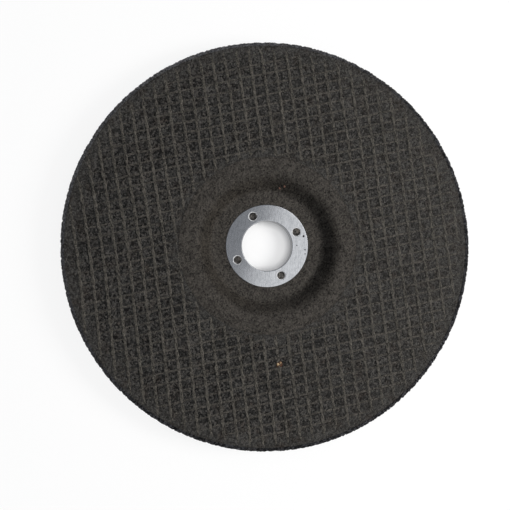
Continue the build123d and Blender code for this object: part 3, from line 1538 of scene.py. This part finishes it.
@dataclass(frozen=True)
class ThreadLayer:
    """One direction of the glass cloth, each thread a closed strand or a twisted pair of them."""

    sizes: DiscSizes
    name: str
    normal_degrees: float
    pitch: float
    phase: float
    strand_width: float
    strand_height: float
    top: float
    step: float
    twist_pitch: float
    wander: float
    seed: int
    twist: float = 0.0
    bow: float = 0.0
    corners: int = 6
    strand_lift: float = 0.09
    rim_band: Pair = (81.0, 88.0)
    rim_sink: float = 0.16
    outer_band: Pair = (45.0, 88.0)
    outer_sink: float = 0.0
    patch_margins: Pair = (-0.5, 4.0)
    patch_sink: float = 0.14
    ripple: float = 0.05
    ripple_size: float = 5.0
    tilt: float = 0.05
    drift_sizes: Pair = (22.0, 9.0)
    fine_drift: float = 0.5
    end_margins: Pair = (0.12, -0.25)
    end_size: float = 0.35
    shortest: int = 3
    rough: float = 0.11
    rough_size: float = 0.75
    clinging: float = 0.13
    clinging_size: float = 0.9
    clinging_places: Pair = (0.62, 0.9)

    def strands(self) -> list[int]:
        """The strands of a thread: a pair where it is twisted, and otherwise one."""
        return [-1, 1] if self.twist else [0]

    def normal(self) -> np.ndarray:
        """The level direction across the threads."""
        angle = math.radians(self.normal_degrees)
        return np.array([math.cos(angle), math.sin(angle), 0.0])

    def shift(self, points: np.ndarray) -> np.ndarray:
        """How far the pressed cloth has moved each thread along its normal.

        Args:
            points: one row of three coordinates for each point.

        Returns:
            The distance for each point.
        """
        drift = soft_noise(points, self.drift_sizes[0], self.seed)
        drift = drift + self.fine_drift * soft_noise(points, self.drift_sizes[1], self.seed + 1)
        return self.bow * ClothBow().shifts(points) + self.wander * drift

    def lines(self) -> list[tuple[np.ndarray, np.ndarray]]:
        """The middle line of each thread where it crosses the cloth.

        Returns:
            For each stretch, the distance along it and its points, at height 0.
        """
        sizes = self.sizes
        normal = self.normal()
        along = np.array([-normal[1], normal[0], 0.0])
        room = sizes.cloth - self.strand_width
        first = math.ceil((-room - self.phase) / self.pitch)
        last = math.floor((room - self.phase) / self.pitch)
        travel = np.arange(-sizes.cloth, sizes.cloth, self.step)
        inner, outer = sizes.patch + self.end_margins[0], sizes.cloth + self.end_margins[1]
        found = []
        for number in range(first, last + 1):
            place = self.phase + number * self.pitch
            points = place * normal + travel[:, None] * along
            points = points + self.shift(points)[:, None] * normal
            radius = np.hypot(points[:, 0], points[:, 1])
            inside = (radius > inner) & (radius < outer)
            edges = np.flatnonzero(np.diff(np.concatenate([[0], inside.astype(int), [0]])))
            for start, end in zip(edges[::2], edges[1::2]):
                if end - start > self.shortest:
                    found.append((travel[start:end], points[start:end]))
        return found

    def sinks(self, points: np.ndarray) -> np.ndarray:
        """How far the middle line lies below its top at the rim, at the patch and on the low side.

        Args:
            points: one row of three coordinates for each point.

        Returns:
            The depth for each point.
        """
        radius = np.hypot(points[:, 0], points[:, 1])
        patch = self.sizes.patch
        covered = 1.0 - smooth_step(radius, *(patch + margin for margin in self.patch_margins))
        sink = self.rim_sink * smooth_step(radius, *self.rim_band) + self.patch_sink * covered
        sink = sink + self.outer_sink * smooth_step(radius, *self.outer_band)
        sink = sink - self.ripple * soft_noise(points, self.ripple_size, self.seed + 7)
        return sink + self.tilt * points[:, 0] / ClothBow.reach

    def strand(self, travel: np.ndarray, points: np.ndarray, side: int) -> Surface:
        """One closed strand along a thread's middle line.

        Args:
            travel: distance along the thread.
            points: its middle line.
            side: -1 or 1 for one of a twisted pair, and 0 for a single strand.

        Returns:
            The strand.
        """
        start_turn = scatter(np.array([[len(travel), 0, 0]]), self.seed)[0]
        turn = math.pi * travel / self.twist_pitch + start_turn
        lift = self.strand_lift * (side * np.sin(turn) - abs(side)) - self.sinks(points)
        middle = self.top - self.strand_height / 2 + lift
        slide = side * self.twist * np.cos(turn)
        ends = np.minimum(np.arange(len(travel)), np.arange(len(travel))[::-1])
        taper = np.clip(self.end_size * (1 + ends), 0.0, 1.0)[:, None]
        spokes = 2 * math.pi * (np.arange(self.corners) + 0.5) / self.corners
        wide = self.strand_width / 2 * taper * np.cos(spokes)
        high = self.strand_height / 2 * taper * np.sin(spokes)
        rings = points[:, None, :] + (slide[:, None] + wide)[:, :, None] * self.normal()
        rings[:, :, 2] = middle[:, None] + high
        index = np.arange(rings.shape[0] * self.corners).reshape(-1, self.corners)
        low, upper = index[:-1], index[1:]
        beside_low, beside_upper = np.roll(low, -1, axis=1), np.roll(upper, -1, axis=1)
        start = np.full(self.corners, index.size)
        faces = [
            np.stack([low, upper, beside_upper], axis=2).reshape(-1, 3),
            np.stack([low, beside_upper, beside_low], axis=2).reshape(-1, 3),
            np.stack([index[0], np.roll(index[0], -1), start], axis=1),
            np.stack([np.roll(index[-1], -1), index[-1], start + 1], axis=1),
        ]
        caps = np.vstack([rings[0].mean(axis=0), rings[-1].mean(axis=0)])
        return Surface(np.vstack([rings.reshape(-1, 3), caps]), np.vstack(faces))

    def build(self, finish: YarnFinish) -> Piece:
        """Builds the piece.

        Args:
            finish: the threads' material.

        Returns:
            The new piece.
        """
        lines = self.lines()
        threads = Surface.joined([self.strand(*line, side) for line in lines for side in self.strands()])
        rough = self.rough * soft_noise(threads.points, self.rough_size, self.seed + 5)
        grit = GrainField(size=self.clinging_size, seed=self.seed + 9).heights(threads.points)
        threads = threads.pushed(rough + self.clinging * smooth_step(grit, *self.clinging_places))
        threads.points[:, 2] = np.minimum(threads.points[:, 2], self.sizes.rim_front)
        piece = threads.piece(self.name, finish.material())
        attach(piece, "root")
        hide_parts("glass_mesh")
        return piece


@dataclass(frozen=True)
class GlassCloth:
    """The woven cloth: pairs of warp strands that twist round single weft strands."""

    sizes: DiscSizes
    warp_normal: float = 7.5
    warp_pitch: float = 5.4
    weft_normal: float = 102.5
    weft_pitch: float = 4.56

    def build(self) -> list[Piece]:
        """Builds the warp and the weft.

        Returns:
            The two new pieces.
        """
        warp = ThreadLayer(
            self.sizes, "warp_threads", self.warp_normal, self.warp_pitch, phase=3.38,
            strand_width=0.94, strand_height=0.5, top=10.54, step=0.58,
            twist=0.34, twist_pitch=self.weft_pitch, wander=0.1, seed=101, bow=1.0,
        )
        weft = ThreadLayer(
            self.sizes, "weft_threads", self.weft_normal, self.weft_pitch, phase=1.32,
            strand_width=0.96, strand_height=0.42, top=10.4, step=0.6,
            twist_pitch=self.warp_pitch, wander=0.16, seed=131,
            rim_sink=0.02, outer_sink=0.16, tilt=-0.08,
        )
        warp_finish = YarnFinish(
            "warp_glass", self.warp_normal + 90, dark=srgb(24, 23, 21), light=srgb(90, 86, 79), side_share=0.3
        )
        weft_finish = YarnFinish(
            "weft_glass", self.weft_normal + 90, dark=srgb(21, 20, 18), light=srgb(82, 78, 72)
        )
        return [warp.build(warp_finish), weft.build(weft_finish)]


@dataclass(frozen=True)
class CentrePatch:
    """The plain patch over the hub, the slope and the first part of the front face."""

    sizes: DiscSizes
    spacing: float = 0.36
    hidden_spacing: float = 1.2
    grain: GrainField = GrainField(size=0.75, seed=53)
    relief: float = 0.16
    swell: float = 0.06
    swell_size: float = 4.0
    swell_seed: int = 59
    edge_width: float = 2.5
    edge_relief: float = 0.14
    facing_up: float = 0.3

    def build(self) -> Piece:
        """Builds the piece.

        Returns:
            The new piece.
        """
        sizes = self.sizes
        wall = sizes.patch_wall
        inner = sizes.flange + sizes.clearance
        corners = [
            Corner(inner, sizes.hub_front - wall, 0.0, self.hidden_spacing),
            Corner(*sizes.recess_corner(wall, False), sizes.foot_bend + wall, self.hidden_spacing),
            Corner(*sizes.recess_corner(wall, True), sizes.shoulder_bend - wall, self.hidden_spacing),
            Corner(sizes.patch, sizes.rim_front - wall, 0.0, self.spacing),
            Corner(sizes.patch, sizes.rim_front, 0.0, self.spacing),
            Corner(*sizes.recess_corner(0.0, True), sizes.shoulder_bend, self.spacing),
            Corner(*sizes.recess_corner(0.0, False), sizes.foot_bend, self.spacing),
            Corner(inner, sizes.hub_front, 0.0, self.spacing),
        ]
        patch = turned_surface(rounded_profile(corners))
        grit = 1.0 - self.grain.heights(patch.points)
        swell = 0.5 + 0.5 * soft_noise(patch.points, self.swell_size, self.swell_seed)
        edge = smooth_step(patch.distances(), sizes.patch - self.edge_width, sizes.patch)
        depth = self.relief * grit + self.swell * swell + self.edge_relief * edge * grit
        upward = patch.normals()[:, 2] > self.facing_up
        patch = patch.pushed(np.where(upward, -depth, 0.0))
        piece = patch.piece("felt_patch", FELT.material())
        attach(piece, "root")
        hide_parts("centre_patch")
        return piece


@dataclass(frozen=True)
class SteelBush:
    """The pressed steel bush, slightly dished, with a rounded lip and four countersunk holes."""

    sizes: DiscSizes
    dish: float = 0.13
    collar_bend: float = 0.15
    lip_bend: float = 0.25
    edge_bend: float = 0.22
    countersink: float = 0.4
    brim_width: float = 0.34
    brim_drop: float = 0.14
    brim_depth: float = 0.06
    punch_head: float = 0.3
    punch_corners: int = 64
    spacing: float = 0.3
    bend_spacing: float = 0.12
    hidden_spacing: float = 1.0
    front_margin: float = 0.3
    flat_margins: Pair = (0.55, -0.6)
    sharp_degrees: float = 28.0

    def blank(self) -> Surface:
        """The bush before its holes are punched, with every second ring left out where it is flat.

        Returns:
            The bush's surface.
        """
        sizes = self.sizes
        seat = sizes.bush_seat()
        corners = [
            Corner(sizes.bore, sizes.bush_end, 0.0, self.spacing),
            Corner(sizes.collar, sizes.bush_end, self.collar_bend, self.hidden_spacing),
            Corner(sizes.collar, seat, 0.0, self.hidden_spacing),
            Corner(sizes.flange, seat, 0.0, self.spacing),
            Corner(sizes.flange, sizes.bush_top - self.dish, self.edge_bend, self.bend_spacing),
            Corner(sizes.bore, sizes.bush_top, self.lip_bend, self.bend_spacing),
        ]
        profile = rounded_profile(corners)
        on_top = profile[:, 1] > seat + self.front_margin
        profile[:, 2] = np.where(on_top, self.spacing, profile[:, 2])
        inner, outer = sizes.bore + self.flat_margins[0], sizes.flange + self.flat_margins[1]
        flat = on_top & (profile[:, 0] > inner) & (profile[:, 0] < outer)
        keep = np.ones(len(profile), bool)
        keep[np.flatnonzero(flat)[1::2]] = False
        return turned_surface(profile[keep])

    def punches(self) -> Surface:
        """The punches that open the holes and their countersinks.

        Returns:
            The punches as one surface.
        """
        radius = self.sizes.hole_radius
        below = self.sizes.bush_top - 2 * self.sizes.bush_wall
        brim = self.sizes.bush_top - self.brim_depth
        mouth = radius + self.countersink
        rings = [
            (0.0, below),
            (radius, below),
            (radius, brim - self.countersink),
            (mouth - self.brim_width, brim - self.brim_drop),
            (mouth, brim),
            (mouth + self.punch_head, brim + self.punch_head),
            (0.0, brim + self.punch_head),
        ]
        punch = spindle(rings, self.punch_corners)
        return Surface.joined([punch.moved(shift) for shift in self.sizes.holes()])

    def build(self) -> Piece:
        """Builds the piece.

        Returns:
            The new piece.
        """
        piece = self.blank().piece("pressed_bush", ZINC.material())
        punch = self.punches().piece("punch", PRESSED_EDGE.material())
        cut = piece.modifiers.new("holes", "BOOLEAN")
        cut.operation = "DIFFERENCE"
        cut.solver = "EXACT"
        cut.material_mode = "TRANSFER"
        cut.object = punch
        bpy.context.view_layer.update()
        evaluated = piece.evaluated_get(bpy.context.evaluated_depsgraph_get())
        mesh = bpy.data.meshes.new_from_object(evaluated)
        piece.modifiers.clear()
        piece.data = mesh
        mesh.name = piece.name
        bpy.data.objects.remove(punch)
        mesh.shade_smooth()
        mesh.set_sharp_from_angle(angle=math.radians(self.sharp_degrees))
        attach(piece, "root")
        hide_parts("steel_bush")
        return piece


@dataclass(frozen=True)
class StrayGrain:
    """One grain of another colour that lies on the disc, with a flat top and an uneven outline.

    Its rings give radius and height in shares of the grain's own radius.
    """

    name: str
    place: Triple
    radius: float
    finish: SpeckFinish
    slot: Slot
    rings: tuple[Pair, ...] = (
        (0.0, -0.6), (0.6, -0.5), (0.95, -0.1), (0.95, 0.3), (0.75, 0.5), (0.0, 0.56),
    )
    corners: int = 14
    unevenness: float = 0.42
    seed: int = 83

    def build(self) -> Piece:
        """Builds the piece.

        Returns:
            The new piece.
        """
        rings = [(radius * self.radius, height * self.radius) for radius, height in self.rings]
        grain = spindle(rings, self.corners)
        noise = soft_noise(grain.points + np.array(self.place), self.radius, self.seed)
        grain.points[:, :2] *= (1.0 + self.unevenness * noise)[:, None]
        piece = grain.moved(self.place).piece(self.name, self.finish.material())
        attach(piece, "root")
        return piece


def stray_grains() -> list[StrayGrain]:
    """The grains of other colours that lie on the disc.

    Returns:
        The grains, a tan pair on a brown one first, then the rust-brown and the dark ones.
    """
    brown = SpeckFinish("brown_grain", dark=srgb(30, 19, 13), light=srgb(80, 50, 29))
    tan = SpeckFinish("tan_grain", dark=srgb(112, 84, 54), light=srgb(186, 164, 130))
    rust = SpeckFinish("rust_grain", dark=srgb(58, 42, 35), light=srgb(110, 80, 66))
    darkening = SpeckFinish("dark_grain", dark=srgb(8, 8, 9), light=srgb(26, 26, 28))
    return [
        StrayGrain("brown_grain", (4.95, -51.75, 9.66), 1.55, brown, Slot.ABRASIVE),
        StrayGrain("tan_grain_a", (4.3, -51.95, 10.24), 0.62, tan, Slot.ABRASIVE),
        StrayGrain("tan_grain_b", (5.45, -51.3, 10.28), 0.5, tan, Slot.ABRASIVE),
        StrayGrain("rust_grain_a", (7.4, 26.2, 8.5), 0.5, rust, Slot.PATCH),
        StrayGrain("rust_grain_b", (5.3, 25.4, 8.0), 0.46, rust, Slot.PATCH),
        StrayGrain("dark_grain_a", (16.3, 4.4, 6.0), 0.48, darkening, Slot.STEEL),
        StrayGrain("dark_grain_b", (13.3, 0.3, 6.03), 0.26, darkening, Slot.STEEL),
        StrayGrain("dark_grain_c", (16.95, -1.7, 5.98), 0.3, darkening, Slot.STEEL),
        StrayGrain("dark_grain_d", (16.9, -3.5, 5.98), 0.28, darkening, Slot.STEEL),
    ]


def main() -> None:
    """Builds the studio and the disc's pieces in order, and reports each piece."""
    logging.basicConfig(level=logging.INFO, format="%(name)s %(message)s")
    sizes = DiscSizes.from_frame(frame["record"])
    Studio().build()
    pieces = [AbrasiveBody(sizes).build(), GrainBed(sizes).build()]
    pieces += GlassCloth(sizes).build()
    pieces += [CentrePatch(sizes).build(), SteelBush(sizes).build()]
    pieces += [grain.build() for grain in stray_grains()]
    for piece in pieces:
        faces = sum(len(polygon.vertices) - 2 for polygon in piece.data.polygons)
        log.info("%s: %d triangles", piece.name, faces)


if __name__ == "__main__":
    main()
